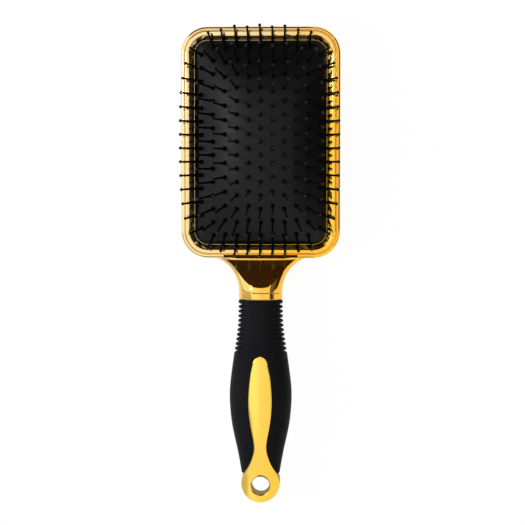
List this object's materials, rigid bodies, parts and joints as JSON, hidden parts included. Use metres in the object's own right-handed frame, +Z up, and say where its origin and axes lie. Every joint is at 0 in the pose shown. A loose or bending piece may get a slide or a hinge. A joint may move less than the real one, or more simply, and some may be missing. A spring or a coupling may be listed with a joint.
{
  "type": "paddle hair brush",
  "caption": "Flat rectangular paddle hair brush with ball-tipped pins on a crowned air cushion in a plated frame, and a ribbed rubber grip with an inlay and a hanging eye.",
  "frame": {"origin": "middle of the flat back of the paddle head, on the surface that the brush lies on", "axes": "+Z up through the pins, +Y along the brush to the free end of the head, the handle towards -Y, +X across the head"},
  "size_m": [0.0844, 0.2509, 0.0365],
  "materials": {
    "gold_plate": "moulded plastic, mirror-bright gold plating",
    "grip_rubber": "matt soft-touch black rubber",
    "cushion_rubber": "satin black rubber",
    "pin_nylon": "semi-gloss black nylon"
  },
  "bodies": {
    "paddle": {"head_shell": "gold_plate", "front_bezel": "gold_plate", "cushion_pad": "cushion_rubber", "neck_ferrule": "gold_plate", "handle_core": "gold_plate", "grip_sleeve": "grip_rubber"},
    "pin_bed": {"pin_strip_01": "pin_nylon", "pin_strip_02": "pin_nylon", "pin_strip_03": "pin_nylon", "pin_strip_04": "pin_nylon", "pin_strip_05": "pin_nylon", "pin_strip_06": "pin_nylon", "pin_strip_07": "pin_nylon", "pin_strip_08": "pin_nylon", "pin_strip_09": "pin_nylon", "pin_strip_10": "pin_nylon", "pin_strip_11": "pin_nylon"}
  },
  "joints": [
    {"name": "cushion_press", "type": "slide", "parent": "paddle", "child": "pin_bed", "axis": [0, 0, 1], "range_m": [-0.003, 0], "stiffness_N_per_m": 3000, "deforming": ["cushion_pad"]}
  ]
}
